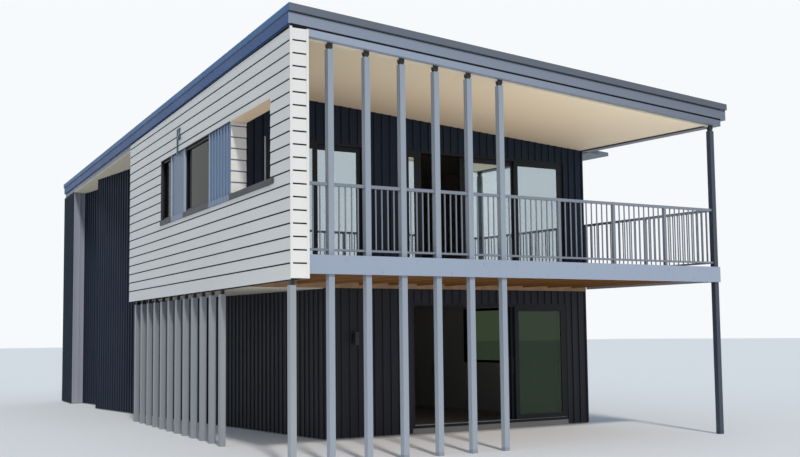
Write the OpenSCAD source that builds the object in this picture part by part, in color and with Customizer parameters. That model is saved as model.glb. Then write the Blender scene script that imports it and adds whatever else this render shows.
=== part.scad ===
// Two-storey beach house with a covered upper deck, a turned weatherboard side wall
// and a single-fall roof. Millimetres, +Z up, +Y towards the back, ground at z = 0.
// Lengths along X and Y are measured from the front left corner of the weatherboard
// wall, and place() moves that corner so that the origin is the bottom centre.

/* [Overall] */
// Width of the front, from the weatherboard corner to the right wall
house_w = 8250; // [8000:10:8600]
// Depth from the front face to the outside of the rear wall
house_d = 19050; // [18400:10:19600]
// Turn of the weatherboard wall away from the front-to-back line, degrees
wall_turn = 8.5; // [7:0.5:9]
// Height from one floor to the next
storey_h = 2750; // [2650:10:2900]
// Thickness of the ground slab
slab_h = 100; // [80:10:150]

/* [Walls] */
// Thickness of an outer wall
wall_t = 140; // [120:10:180]
// Thickness of the weatherboard wall
screen_t = 260; // [220:10:300]
// Depth of the upper floor's structure
floor_t = 300; // [260:10:320]
// Distance from the front face to the house's front wall
deck_d = 3400; // [3200:10:3600]
// Left side of the ground floor, from the weatherboard corner
side_x = 2400; // [2300:10:2500]
// How far the entry recess steps in from the ground floor's left side
entry_step = 550; // [450:10:650]
// Depth at which the weatherboard wall ends
screen_d = 10300; // [10000:10:10600]
// Length of the entry recess along the left side
entry_len = 2850; // [2600:10:3000]
// Depth of the rear block behind the entry recess
rear_block_d = 1450; // [1300:10:1700]
// Distance that the weatherboard wall hangs below the upper floor
screen_drop = 330; // [330:10:380]

/* [Window band in the weatherboard wall] */
// Height of the band's opening above the upper floor
band_sill = 1120; // [1000:10:1200]
// Height of the band's head above the upper floor
band_head = 2280; // [2100:10:2340]
// Height of the dark sill under the band
sill_h = 90; // [60:5:100]
// Depths where the opening, panels and windows of the band start and end
band_cuts = [840, 2820, 4040, 5700, 6650, 7450];

/* [Doors and windows] */
// Height of the door heads above their floor
door_h = 2200; // [2100:10:2250]
// Left side of the ground-floor doorway
lower_door_start = 4180; // [4000:10:4300]
// Width of the wall right of the ground-floor doorway
lower_pier_w = 490; // [400:10:600]
// Left and right side of the narrow upper doorway
left_door_x = [1280, 3240];
// Left side of the wide upper doorway
wide_door_start = 4020; // [3900:10:4100]
// Width of the wall right of the wide upper doorway
wide_pier_w = 510; // [450:10:600]
// Width of the fixed side light in the wide upper doorway
side_light_w = 300; // [260:10:350]
// Gap that the parked leaf of the wide upper doorway leaves open
upper_gap = 930; // [700:10:950]
// Face width of a door or window frame
frame_w = 50; // [40:5:60]
// Face width of a door leaf's stiles and rails
stile_w = 90; // [70:5:100]
// Thickness of a door leaf
leaf_t = 40; // [32:1:42]
// Thickness of the glass
glass_t = 20; // [12:1:24]
// Depths where the windows of the right wall start
side_windows = [5600, 9400, 14200];
// Width of a window in the right or rear wall
window_w = 1660; // [1200:10:1900]
// Distances from the right wall to the left sides of the windows in the rear wall
rear_windows = [4350, 2150];

/* [Deck] */
// Face width of the posts
post_w = 90; // [75:5:100]
// Distance between the centres of the front posts
post_gap = 600; // [560:5:620]
// Number of upper front posts
post_count = 6; // [4:1:6]
// Number of posts along the left side
side_count = 12; // [8:1:12]
// Distance between the centres of the side posts
side_gap = 575; // [540:5:580]
// Depth of the first side post
side_start = 3500; // [3400:10:3700]
// Height of the deck's fascia
fascia_h = 262; // [240:2:280]
// Thickness of the deck boards
board_t = 32; // [25:1:40]
// Width of a deck joist
joist_w = 45; // [40:5:50]
// Height of the balustrade
rail_h = 1030; // [1000:10:1100]
// Height of the bottom rail's top above the deck
low_rail_h = 110; // [90:5:150]
// Width of a baluster
baluster_w = 16; // [12:1:20]
// Distance between the centres of the balusters
baluster_gap = 110; // [100:1:116]

/* [Roof] */
// Fall of the roof from left to right, degrees
roof_fall = 3.87; // [3:0.01:4.2]
// Height of the soffit above the upper floor at the front left corner
soffit_h = 3030; // [2980:10:3100]
// Thickness of the soffit lining
lining_t = 12; // [10:1:18]
// Height of the front roof beam
beam_h = 110; // [100:5:140]
// Gap of the shadow line between the beam and the fascia
shadow_h = 14; // [10:1:20]
// Height of the roof fascia
roof_fascia_h = 175; // [160:5:200]
// Height of the roof's edge cap
cap_h = 105; // [90:5:120]
// How far the roof's right edge stands out from the right wall
roof_out = 200; // [150:10:250]
// Width of the gutter
gutter_w = 130; // [100:5:150]
// How far the thin eave stands out from the right wall behind the deck
eave_out = 720; // [600:10:800]
// Thickness of the thin eave
eave_t = 70; // [50:5:80]

/* [Hidden] */

upper = slab_h + storey_h;              // level of the upper floor
ceiling = upper - floor_t;              // underside of the upper floor
fall = tan(roof_fall);
turn = tan(wall_turn);
deck_edge = house_w + post_w;           // right edge of the deck
deck_start = screen_t + 20;             // left edge of the deck
roof_right = house_w + roof_out;
roof_depth = house_d + 50;
board_top = upper - 20;
entry_back = house_d - rear_block_d;
entry_front = entry_back - entry_len;
lower_door_x = [lower_door_start, house_w - lower_pier_w];
wide_door_x = [wide_door_start, house_w - wide_pier_w];
inner_x = side_x + entry_step;          // outer face of the wall in the entry recess
step_y = entry_front + wall_t;          // depth at which the recess steps in
joist_h = 190;
beam_t = 95;
fascia_t = 45;
cap_out = 40;
post_y = fascia_t + 20;                 // front face of the posts
bracket_h = 90;
bracket_t = 60;
clear = 6;                              // gap around a sliding leaf
seat = 0.3;                             // gap between a piece and its seat
past = 10;                              // how far a cut runs past a face
infill_in = 15;                         // band panels stand back by this from the wall's face
band_frame_in = 30;                     // band window frames stand back by this
window_frame_t = 80;                    // depth of a window's frame
window_in = 30;                         // wall windows stand back by this
flashing_out = 20;                      // the flashing stands out by this
rail_post_w = 50;                       // width of the balustrade's own posts
low_rail_t = 30;
upstand_w = 90;                         // width of the cap on top of the roof
gutter_t = 4;
shoe_l = 60;
shoe_in = 60;                           // distance of a shoe from the leaf's end
overlap = 80;                           // overlap of two door leaves
park_step = 63;                         // stagger of the parked leaves
reach = 60000;                          // longer than anything in the house
slab_top_h = soffit_h + lining_t;       // roof slab's underside at x = 0
beam_top_h = soffit_h + beam_h;
edge_low_h = beam_top_h + shadow_h;
edge_mid_h = edge_low_h + roof_fascia_h;
edge_top_h = edge_mid_h + cap_h;
lower_leaf_w = (lower_door_x[1] - lower_door_x[0] - 2*frame_w + 2*overlap)/3;
rail_t = 45;
rail_plane = post_y + post_w/2;         // middle of the front balustrade
side_plane = deck_edge - post_w/2;      // middle of the side balustrade
right_bays = 4;                         // bays of the balustrade right of the posts

// X of the turned wall's outer face at depth y
function left_x(y) = y*turn;
// X at depth y of what is seated against the turned wall's inner face
function seat_x(y) = left_x(y) + screen_t + seat;
function post_x(i) = i*post_gap + 20;   // left face of front post i, 0 at the corner
front_post_xs = [for (i = [1 : post_count]) post_x(i), house_w];
side_post_places = [[post_x(0), post_y], for (i = [0 : side_count - 1])
                    [left_x(side_start + i*side_gap) + 40, side_start + i*side_gap]];
// Top of the front post whose left face is at x, and foot of the bracket on it
function bracket_foot(x) = upper + soffit_h - (x + post_w)*fall - bracket_h;
function rail_post_x(i) = post_x(post_count) + i*(house_w - post_x(post_count))/right_bays;

// Moves the front left corner so that the origin is the bottom centre of the house
module place() {
    translate([-(house_w + eave_out - cap_out)/2, -roof_depth/2, 0]) children();
}

// A box from one corner to the opposite one
module block(low, high) {
    translate(low) cube([high[0] - low[0], high[1] - low[1], high[2] - low[2]]);
}

// Plan strip that follows the turned wall, from offset x0 to x1 and depth y0 to y1
module turned_strip(x0, x1, y0, y1) {
    polygon([[left_x(y0) + x0, y0], [left_x(y0) + x1, y0], [left_x(y1) + x1, y1], [left_x(y1) + x0, y1]]);
}

// The turned strip raised from z0 to z1
module turned_block(x0, x1, y0, y1, z0, z1) {
    translate([0, 0, z0]) linear_extrude(z1 - z0) turned_strip(x0, x1, y0, y1);
}

// Everything between two planes that fall with the roof, at heights low and high at x = 0
module falling_layer(low, high) {
    translate([0, 0, upper + low]) rotate([0, roof_fall, 0])
        translate([-reach/2, -reach/2, 0]) cube([reach, reach, (high - low)*cos(roof_fall)]);
}

// A plan shape cut to a layer of the roof, with plumb sides
module roof_layer(low, high) {
    intersection() {
        linear_extrude(upper + high + 100) children();
        falling_layer(low, high);
    }
}

// A plan shape raised from z0 to a plane of the roof, by default just under the roof slab
module wall_to_roof(z0, top_h = slab_top_h - seat) {
    intersection() {
        translate([0, 0, z0]) linear_extrude(upper + top_h - z0 + 100) children();
        falling_layer(-2*upper, top_h);
    }
}

// Upright frame in the plane of the front: outer size w by h, members f wide, t deep
module frame(w, h, f, t) {
    difference() {
        cube([w, t, h]);
        translate([f, -1, f]) cube([w - 2*f, t + 2, h - 2*f]);
    }
}

// Pane that fills a frame
module pane(w, h, f, t) {
    translate([f, (t - glass_t)/2, f]) cube([w - 2*f, glass_t, h - 2*f]);
}

// Holes for the windows of the right and the rear wall on a floor at height z
module side_window_holes(z) {
    for (y = side_windows) translate([house_w - wall_t - 1, y, z + band_sill - sill_h])
        cube([wall_t + 2, window_w, band_head - band_sill]);
    for (d = rear_windows) translate([house_w - d, house_d - wall_t - 1, z + band_sill - sill_h])
        cube([window_w, wall_t + 2, band_head - band_sill]);
}

// Plan of the walls around the entry recess and the left of the rear block
module entry_plan() {
    polygon([[side_x, entry_front], [inner_x + wall_t, entry_front], [inner_x + wall_t, entry_back],
             [left_x(entry_back) + wall_t, entry_back + wall_t],
             [left_x(house_d) + wall_t, house_d], [left_x(house_d), house_d],
             [left_x(entry_back), entry_back], [inner_x, entry_back], [inner_x, step_y], [side_x, step_y]]);
}

// Plan of the upper floor
module floor_plan() {
    polygon([[seat_x(deck_d), deck_d], [house_w, deck_d], [house_w, house_d], [left_x(house_d), house_d],
             [left_x(entry_back), entry_back], [inner_x, entry_back], [inner_x, step_y], [side_x, step_y],
             [side_x, screen_d], [seat_x(screen_d), screen_d]]);
}

// Ground floor

module ground_slab() {
    color("darkgray") linear_extrude(slab_h)
        polygon([[side_x, deck_d], [house_w, deck_d], [house_w, house_d], [left_x(house_d), house_d],
                 [left_x(entry_back), entry_back], [inner_x, entry_back], [inner_x, step_y], [side_x, step_y]]);
}

module lower_left_wall() {
    color("#20242c") block([side_x, deck_d + wall_t, slab_h], [side_x + wall_t, entry_front, ceiling]);
}

module lower_entry_wall() {
    color("#20242c") translate([0, 0, slab_h]) linear_extrude(ceiling - slab_h) entry_plan();
}

module lower_rear_wall() {
    color("#20242c") difference() {
        block([left_x(house_d) + wall_t, house_d - wall_t, slab_h], [house_w - wall_t, house_d, ceiling]);
        side_window_holes(slab_h);
    }
}

module lower_right_wall() {
    color("#20242c") difference() {
        block([house_w - wall_t, deck_d + wall_t, slab_h], [house_w, house_d, ceiling]);
        side_window_holes(slab_h);
    }
}

module lower_front_wall_left() {
    color("#20242c") block([side_x, deck_d, slab_h], [lower_door_x[0], deck_d + wall_t, ceiling]);
}

module lower_front_wall_right() {
    color("#20242c") block([lower_door_x[1], deck_d, slab_h], [house_w, deck_d + wall_t, ceiling]);
}

module lower_door_lintel() {
    color("#20242c") block([lower_door_x[0], deck_d, slab_h + door_h], [lower_door_x[1], deck_d + wall_t, ceiling]);
}

// The frame carries the fixed leaf in its outermost track
module lower_door_frame() {
    w = lower_door_x[1] - lower_door_x[0];
    color("#15171a") translate([lower_door_x[0], deck_d, slab_h]) {
        frame(w, door_h, frame_w, wall_t);
        translate([w - frame_w - lower_leaf_w, 2, frame_w]) frame(lower_leaf_w, door_h - 2*frame_w, stile_w, leaf_t);
    }
}

module lower_door_glass() {
    color("lightblue", 0.4) translate([lower_door_x[1] - frame_w - lower_leaf_w, deck_d + 2, slab_h + frame_w])
        pane(lower_leaf_w, door_h - 2*frame_w, stile_w, leaf_t);
}

// Puts a sliding leaf in track n, 1 next to the fixed leaf and 2 innermost, where it is parked
module parked(n) {
    translate([lower_door_x[1] - frame_w - lower_leaf_w - n*park_step, deck_d + 2 + n*(leaf_t + clear),
               slab_h + frame_w + clear]) children();
}

// A leaf runs on two shoes that stand on the sill
module leaf_frame() {
    color("#15171a") {
        frame(lower_leaf_w, door_h - 2*frame_w - 2*clear, stile_w, leaf_t);
        for (x = [shoe_in, lower_leaf_w - shoe_in - shoe_l]) translate([x, 10, seat - clear])
            cube([shoe_l, leaf_t - 20, clear]);
    }
}

module leaf_pane() {
    color("lightblue", 0.4) pane(lower_leaf_w, door_h - 2*frame_w - 2*clear, stile_w, leaf_t);
}

module door_leaf_1() { parked(2) leaf_frame(); }
module door_leaf_1_glass() { parked(2) leaf_pane(); }
module door_leaf_2() { parked(1) leaf_frame(); }
module door_leaf_2_glass() { parked(1) leaf_pane(); }

// Upper floor and the weatherboard wall

module upper_floor() {
    color("tan") translate([0, 0, ceiling]) linear_extrude(floor_t) floor_plan();
}

// Pale sheet under the part of the upper floor that stands out beyond the ground floor
module overhang_lining() {
    color("#d8cdb8") translate([0, 0, ceiling - lining_t]) linear_extrude(lining_t)
        polygon([[seat_x(deck_d), deck_d], [side_x, deck_d], [side_x, screen_d], [seat_x(screen_d), screen_d]]);
}

module weatherboard_wall() {
    color("#dcd8d0") difference() {
        wall_to_roof(upper - screen_drop, beam_top_h) turned_strip(0, screen_t, 0, screen_d);
        turned_block(-past, screen_t + past, band_cuts[0], band_cuts[5], upper + band_sill - sill_h,
                     upper + band_head);
    }
}

// Infill of the band between depths y0 and y1
module infill(x0, x1, y0, y1) {
    turned_block(x0, x1, y0, y1, upper + band_sill, upper + band_head);
}

module ribbed_panel() {
    color("#6c84a4") infill(infill_in, screen_t, band_cuts[1], band_cuts[2]);
}

module plain_panel() {
    color("#6c84a4") infill(infill_in, screen_t, band_cuts[3], band_cuts[4]);
}

module band_sill_flashing() {
    color("#3c3f45") turned_block(-flashing_out, screen_t, band_cuts[0], band_cuts[5],
                                  upper + band_sill - sill_h, upper + band_sill);
}

// One window of the band, its frame or its pane
module band_window(y0, y1, glass) {
    middle = band_frame_in + window_frame_t/2;
    if (glass)
        sight(middle - glass_t/2, middle + glass_t/2, y0, y1);
    else difference() {
        infill(band_frame_in, band_frame_in + window_frame_t, y0, y1);
        sight(band_frame_in - past, band_frame_in + window_frame_t + past, y0, y1);
    }
}

// What a band window's frame leaves open
module sight(x0, x1, y0, y1) {
    turned_block(x0, x1, y0 + frame_w, y1 - frame_w, upper + band_sill + frame_w, upper + band_head - frame_w);
}

// Windows of the right and the rear wall on one floor
module wall_windows(z, glass) {
    h = band_head - band_sill;
    for (y = side_windows) translate([house_w - window_in, y, z + band_sill - sill_h]) rotate([0, 0, 90])
        wall_window(h, glass);
    for (d = rear_windows)
        translate([house_w - d, house_d - window_in - window_frame_t, z + band_sill - sill_h])
            wall_window(h, glass);
}

module wall_window(h, glass) {
    if (glass) pane(window_w, h, frame_w, window_frame_t);
    else frame(window_w, h, frame_w, window_frame_t);
}

module all_windows(glass) {
    band_window(band_cuts[2], band_cuts[3], glass);
    band_window(band_cuts[4], band_cuts[5], glass);
    wall_windows(slab_h, glass);
    wall_windows(upper, glass);
}

module window_frames() { color("#9aa4b0") all_windows(false); }
module window_glass() { color("lightblue", 0.4) all_windows(true); }

module upper_front_wall() {
    color("#20242c") difference() {
        wall_to_roof(upper) polygon([[seat_x(deck_d), deck_d], [house_w, deck_d], [house_w, deck_d + wall_t],
                                     [seat_x(deck_d + wall_t), deck_d + wall_t]]);
        for (d = [left_door_x, wide_door_x])
            block([d[0], deck_d - 1, upper - 1], [d[1], deck_d + wall_t + 1, upper + door_h]);
    }
}

module upper_left_wall() {
    color("#20242c") wall_to_roof(upper)
        polygon([[seat_x(screen_d - wall_t), screen_d - wall_t], [side_x + wall_t, screen_d - wall_t],
                 [side_x + wall_t, entry_front], [side_x, entry_front], [side_x, screen_d],
                 [seat_x(screen_d), screen_d]]);
}

module upper_entry_wall() {
    color("#20242c") wall_to_roof(upper) entry_plan();
}

module upper_rear_wall() {
    color("#20242c") difference() {
        wall_to_roof(upper) polygon([[left_x(house_d) + wall_t, house_d - wall_t], [house_w - wall_t, house_d - wall_t],
                                     [house_w - wall_t, house_d], [left_x(house_d) + wall_t, house_d]]);
        side_window_holes(upper);
    }
}

module upper_right_wall() {
    color("#20242c") difference() {
        wall_to_roof(upper) polygon([[house_w - wall_t, deck_d + wall_t], [house_w, deck_d + wall_t],
                                     [house_w, house_d], [house_w - wall_t, house_d]]);
        side_window_holes(upper);
    }
}

// Places of the leaves in the two upper doorways: left edge, width and track of each
narrow_w = left_door_x[1] - left_door_x[0];
wide_w = wide_door_x[1] - wide_door_x[0];
narrow_leaf_w = (narrow_w - 2*frame_w + overlap)/2;
wide_leaf_w = (wide_w - 3*frame_w - side_light_w + 2*overlap)/3;
light_end = wide_door_x[0] + frame_w + side_light_w;
upper_leaves = [
    [left_door_x[0] + frame_w, narrow_leaf_w, 0],
    [left_door_x[1] - frame_w - narrow_leaf_w, narrow_leaf_w, 1],
    [wide_door_x[0] + frame_w, side_light_w, 0],
    [wide_door_x[1] - frame_w - wide_leaf_w, wide_leaf_w, 0],
    [wide_door_x[1] - frame_w - 2*wide_leaf_w + overlap, wide_leaf_w, 1],
    [light_end + frame_w + upper_gap, wide_leaf_w, 2]];

// Each upper leaf's frame or pane in its track
module upper_leaf(leaf, glass) {
    translate([leaf[0], deck_d + 2 + leaf[2]*(leaf_t + clear), upper + frame_w])
        if (glass) pane(leaf[1], door_h - 2*frame_w, stile_w, leaf_t);
        else frame(leaf[1], door_h - 2*frame_w, stile_w, leaf_t);
}

module upper_door_frames() {
    color("#15171a") {
        for (d = [left_door_x, wide_door_x])
            translate([d[0], deck_d, upper]) frame(d[1] - d[0], door_h, frame_w, wall_t);
        block([light_end, deck_d, upper + frame_w], [light_end + frame_w, deck_d + wall_t, upper + door_h - frame_w]);
        for (leaf = upper_leaves) upper_leaf(leaf, false);
    }
}

module upper_door_glass() {
    color("lightblue", 0.4) for (leaf = upper_leaves) upper_leaf(leaf, true);
}

// Deck

module deck_boards() {
    color("#a8a49c") translate([0, 0, board_top - board_t]) linear_extrude(board_t) difference() {
        polygon([[deck_start, post_y], [deck_edge - fascia_t, post_y], [deck_edge - fascia_t, deck_d],
                 [seat_x(deck_d), deck_d]]);
        for (x = front_post_xs) translate([x, post_y]) square([post_w, post_w]);
    }
}

// A joist stands against each front post from the second on, the others follow at the
// same spacing, and one lies along the turned wall
module deck_joists() {
    count = floor((house_w - post_x(2) - post_w - joist_w)/post_gap);
    top = board_top - board_t;
    color("#6b4526") {
        turned_block(screen_t + past, screen_t + past + joist_w, post_y, deck_d, top - joist_h, top);
        for (i = [0 : count])
            block([post_x(2) + post_w + i*post_gap, post_y, top - joist_h],
                  [post_x(2) + post_w + i*post_gap + joist_w, deck_d, top]);
    }
}

module deck_fascia() {
    color("#8fa3b8") {
        block([deck_start, post_y - fascia_t, upper - fascia_h], [deck_edge, post_y, upper]);
        block([deck_edge - fascia_t, post_y + post_w, upper - fascia_h], [deck_edge, deck_d, upper]);
    }
}

// A square upright of width w, centred on a post whose corner is at x, y
module upright(x, y, w, z0, z1) {
    side = (post_w - w)/2;
    block([x + side, y + side, z0], [x + side + w, y + side + w, z1]);
}

// The front posts run from the ground to just below the roof beam
module front_posts() {
    color("#8fa3b8") for (x = front_post_xs) upright(x, post_y, post_w, 0, bracket_foot(x));
}

// Corner post and the row of posts under the weatherboard wall
module side_posts() {
    color("#8fa3b8") for (p = side_post_places)
        upright(p[0], p[1], post_w, 0, upper - screen_drop - bracket_h);
}

// Dark steel brackets between the tops of the posts and what they carry
module post_brackets() {
    color("#30333a") {
        intersection() {
            for (x = front_post_xs) upright(x, post_y, bracket_t, bracket_foot(x), upper + soffit_h);
            falling_layer(-2*upper, soffit_h);
        }
        for (p = side_post_places)
            upright(p[0], p[1], bracket_t, upper - screen_drop - bracket_h, upper - screen_drop);
    }
}

// One bay of balustrade along X from x0 to x1: two rails and evenly spaced balusters
module bay(x0, x1) {
    span = x1 - x0;
    count = round(span/baluster_gap);
    step = span/count;
    translate([x0, -rail_t/2, rail_h - rail_t]) cube([span, rail_t, rail_t]);
    translate([x0, -rail_t/2, low_rail_h - low_rail_t]) cube([span, rail_t, low_rail_t]);
    for (i = [1 : count - 1]) translate([x0 + i*step - baluster_w/2, -baluster_w/2, low_rail_h])
        cube([baluster_w, baluster_w, rail_h - rail_t - low_rail_h]);
}

// A post of the balustrade's own, from its left side x and its foot
module rail_post(x, foot) {
    translate([x, -rail_post_w/2, foot]) cube([rail_post_w, rail_post_w, rail_h - foot]);
}

module front_balustrade() {
    color("#7f93a8") translate([0, rail_plane, board_top]) {
        bay(deck_start, post_x(1));
        for (i = [1 : post_count - 1]) bay(post_x(i) + post_w, post_x(i + 1));
        for (i = [0 : right_bays - 1])
            bay(rail_post_x(i) + (i == 0 ? post_w : rail_post_w), rail_post_x(i + 1));
        for (i = [1 : right_bays - 1]) rail_post(rail_post_x(i), 0);
    }
}

// Two bays from the corner post to the wall, with their posts on the side fascia
module side_balustrade() {
    near = post_y + post_w;
    ends = [(near + deck_d)/2, deck_d];
    color("#7f93a8") translate([side_plane, 0, board_top]) rotate([0, 0, 90]) {
        bay(near, ends[0] - rail_post_w);
        bay(ends[0], ends[1] - rail_post_w);
        for (y = ends) rail_post(y - rail_post_w, upper - board_top);
    }
}

// Roof

// Plan of the roof, grown by out beyond the left wall, the front and the back
module roof_plan(out, right) {
    polygon([[-out, -out], [right, -out], [right, roof_depth + out], [left_x(roof_depth) - out, roof_depth + out]]);
}

// The slab's lower layer lies between the beams and the walls, its upper layer inside the fascia
module roof_slab() {
    color("#4c5b6c") {
        roof_layer(slab_top_h, beam_top_h + shadow_h/2)
            polygon([[seat_x(beam_t), beam_t + seat], [house_w - seat, beam_t + seat], [house_w - seat, deck_d + seat],
                     [roof_right, deck_d + seat], [roof_right, roof_depth], [left_x(roof_depth) + past, roof_depth],
                     [left_x(screen_d) + past, screen_d + seat], [seat_x(screen_d), screen_d + seat]]);
        roof_layer(beam_top_h + seat, edge_mid_h) roof_plan(-fascia_t - seat, roof_right - fascia_t - seat);
    }
}

module roof_soffit() {
    color("#cfc2a8") roof_layer(soffit_h, slab_top_h - seat) {
        polygon([[seat_x(beam_t), beam_t + seat], [house_w - seat, beam_t + seat], [house_w - seat, deck_d - seat],
                 [seat_x(deck_d), deck_d - seat]]);
        polygon([[left_x(screen_d) + past, screen_d + seat], [side_x - seat, screen_d + seat],
                 [side_x - seat, step_y + seat], [inner_x - seat, step_y + seat], [inner_x - seat, entry_back - seat],
                 [left_x(entry_back) + past, entry_back - seat]]);
    }
}

module roof_beams() {
    color("#8fa3b8") roof_layer(soffit_h, beam_top_h)
        polygon([[seat_x(0), 0], [roof_right, 0], [roof_right, deck_d], [house_w, deck_d], [house_w, beam_t],
                 [seat_x(beam_t), beam_t]]);
}

// The front and rear fascias run on past the right edge and close the gutter's ends
module edge_ends() {
    for (y = [0, roof_depth - fascia_t]) translate([roof_right, y]) square([gutter_w, fascia_t]);
}

module roof_fascia() {
    color("#7d92aa") roof_layer(edge_low_h, edge_mid_h) {
        difference() {
            roof_plan(0, roof_right);
            roof_plan(-fascia_t, roof_right - fascia_t);
        }
        edge_ends();
    }
}

// The cap runs round the front, the left and the back, and stays open over the gutter
module roof_cap() {
    color("#6b7f96") roof_layer(edge_mid_h + seat, edge_top_h) difference() {
        roof_plan(cap_out, roof_right + gutter_w);
        roof_plan(-upstand_w, roof_right + gutter_w + past);
    }
}

// Plan of the gutter, smaller by inset on every side
module trough(inset) {
    translate([roof_right + inset, fascia_t + inset])
        square([gutter_w - 2*inset, roof_depth - 2*fascia_t - 2*inset]);
}

module roof_gutter() {
    color("#6b7f96") difference() {
        roof_layer(edge_low_h, edge_mid_h) trough(seat);
        roof_layer(edge_low_h + gutter_t, edge_mid_h + past) trough(seat + gutter_t);
    }
}

module side_eave() {
    color("#4c5b6c") roof_layer(soffit_h, soffit_h + eave_t)
        polygon([[roof_right + seat, deck_d + seat], [house_w + eave_out, deck_d + seat],
                 [house_w + eave_out, roof_depth], [roof_right + seat, roof_depth]]);
}

place() ground_slab();
place() lower_left_wall();
place() lower_entry_wall();
place() lower_rear_wall();
place() lower_right_wall();
place() lower_front_wall_left();
place() lower_front_wall_right();
place() lower_door_lintel();
place() lower_door_frame();
place() lower_door_glass();
place() door_leaf_1();
place() door_leaf_1_glass();
place() door_leaf_2();
place() door_leaf_2_glass();
place() upper_floor();
place() overhang_lining();
place() weatherboard_wall();
place() ribbed_panel();
place() plain_panel();
place() band_sill_flashing();
place() window_frames();
place() window_glass();
place() upper_front_wall();
place() upper_left_wall();
place() upper_entry_wall();
place() upper_rear_wall();
place() upper_right_wall();
place() upper_door_frames();
place() upper_door_glass();
place() deck_boards();
place() deck_joists();
place() deck_fascia();
place() front_posts();
place() side_posts();
place() post_brackets();
place() front_balustrade();
place() side_balustrade();
place() roof_slab();
place() roof_soffit();
place() roof_beams();
place() roof_fascia();
place() roof_cap();
place() roof_gutter();
place() side_eave();
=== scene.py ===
"""Finishes for a two-storey beach house: boards, ribbed cladding, decking, fittings, materials and stage.

Every position is measured in metres from the front left corner of the weatherboard wall.
"""

import math

import bpy
from mathutils import Matrix, Vector


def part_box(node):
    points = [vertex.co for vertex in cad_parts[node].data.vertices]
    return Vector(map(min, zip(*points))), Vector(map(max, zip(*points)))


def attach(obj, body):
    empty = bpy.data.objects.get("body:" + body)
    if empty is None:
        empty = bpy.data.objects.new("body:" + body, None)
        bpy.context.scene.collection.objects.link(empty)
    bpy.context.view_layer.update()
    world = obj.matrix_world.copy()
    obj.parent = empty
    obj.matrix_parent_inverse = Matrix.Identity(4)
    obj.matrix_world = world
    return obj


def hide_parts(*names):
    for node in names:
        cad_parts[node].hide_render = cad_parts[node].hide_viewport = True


bl_info = {
    "name": "Beach House Finishes",
    "version": (1, 0, 0),
    "blender": (4, 5, 0),
    "location": "View3D > Sidebar > Beach House",
    "description": "Adds boards, cladding, decking, fittings and materials to a beach house",
    "category": "Object",
}

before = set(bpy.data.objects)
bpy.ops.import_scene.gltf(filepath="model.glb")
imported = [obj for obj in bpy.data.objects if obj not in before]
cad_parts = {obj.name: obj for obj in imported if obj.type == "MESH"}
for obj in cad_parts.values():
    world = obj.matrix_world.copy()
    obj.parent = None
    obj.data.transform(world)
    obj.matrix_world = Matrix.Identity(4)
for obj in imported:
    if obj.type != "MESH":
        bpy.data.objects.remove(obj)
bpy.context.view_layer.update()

# What the frame's boxes give
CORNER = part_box("weatherboard_wall")[0]
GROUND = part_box("ground_slab")[1].z
CEILING, FLOOR = (corner.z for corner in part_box("upper_floor"))
HOUSE_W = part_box("upper_floor")[1].x - CORNER.x
HOUSE_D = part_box("upper_floor")[1].y - CORNER.y
DECK_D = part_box("upper_front_wall")[0].y - CORNER.y
WALL_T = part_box("upper_front_wall")[1].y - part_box("upper_front_wall")[0].y
SIDE_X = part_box("lower_left_wall")[0].x - CORNER.x
SCREEN_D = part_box("weatherboard_wall")[1].y - CORNER.y
SCREEN_FOOT = CORNER.z
# The weatherboard wall, called the screen here: its thickness, turn, and depth per metre of length
SCREEN_T = 0.26
WALL_TURN = math.radians(8.5)
ALONG = math.cos(WALL_TURN)
# The entry recess in the left side
RECESS_X = SIDE_X + 0.55
RECESS_FRONT, RECESS_BACK = 14.89, 17.6
# The roof, with its heights above the upper floor at the front left corner
ROOF_FALL = math.radians(3.87)
ROOF_D, ROOF_RIGHT = HOUSE_D + 0.05, HOUSE_W + 0.2
SOFFIT_H, WALL_TOP_H, SCREEN_TOP_H = 3.03, 3.042, 3.14
FASCIA_LOW_H, ROOF_TOP_H, CAP_TOP_H = 3.154, 3.329, 3.434
UNDER_SOFFIT_H = SOFFIT_H - 0.002
# Top of the pieces that the roof's fall then cuts off
UNCUT = FLOOR + 3.1
# How far the covers of the fascia and the cap stand out at the left
BARGE_OUT, CAP_OUT = 0.03, 0.04
# Level from which the board joints count, height of the boards' top, and how far the left
# boards hang below the front ones
BOARD_BASE = FLOOR - 0.316
# The boards stop short of the fascia, so that the near-black backing shows there as a painted shadow line.
BOARDS_TOP_H = 3.118
BOARDS_HANG = 0.014
# Foot of the ribbed cladding, and its thickness without the ribs
CLADDING_FOOT, CLADDING_T = 0.02, 0.008
# Face of the cladding beside the screen, and left edge of the deck boards and the soffit's bead
SCREEN_FACE, DECK_EDGE = SCREEN_T + 0.004, SCREEN_T + 0.025
# Levels of the window band, depths where its opening, ribbed panel, window, plain panel and rear
# window start and end, and thickness of the lining over the opening
BAND_LOW, BAND_SILL, BAND_HEAD = FLOOR + 1.03, FLOOR + 1.12, FLOOR + 2.28
BAND_CUTS = (0.84, 2.82, 4.04, 5.7, 6.65, 7.45)
HEAD_LINING_T = 0.012
# Heights of the other windows above their floor, and their start and end in the right and rear wall
WINDOW_LOW, WINDOW_HIGH = 1.03, 2.19
SIDE_WINDOWS = ((5.6, 7.26), (9.4, 11.06), (14.2, 15.86))
REAR_WINDOWS = ((HOUSE_W - 4.35, HOUSE_W - 2.69), (HOUSE_W - 2.15, HOUSE_W - 0.49))
# Height of the doorways, and where they start and end
DOOR_H = 2.2
LOWER_DOORS = ((4.18, HOUSE_W - 0.49),)
UPPER_DOORS = ((1.28, 3.24), (4.02, HOUSE_W - 0.51))
# Left faces of the front posts, and the posts' front face and width
POST_XS = (*(0.02 + 0.6 * i for i in range(1, 7)), HOUSE_W)
POST_Y, POST_W = 0.065, 0.09
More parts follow.
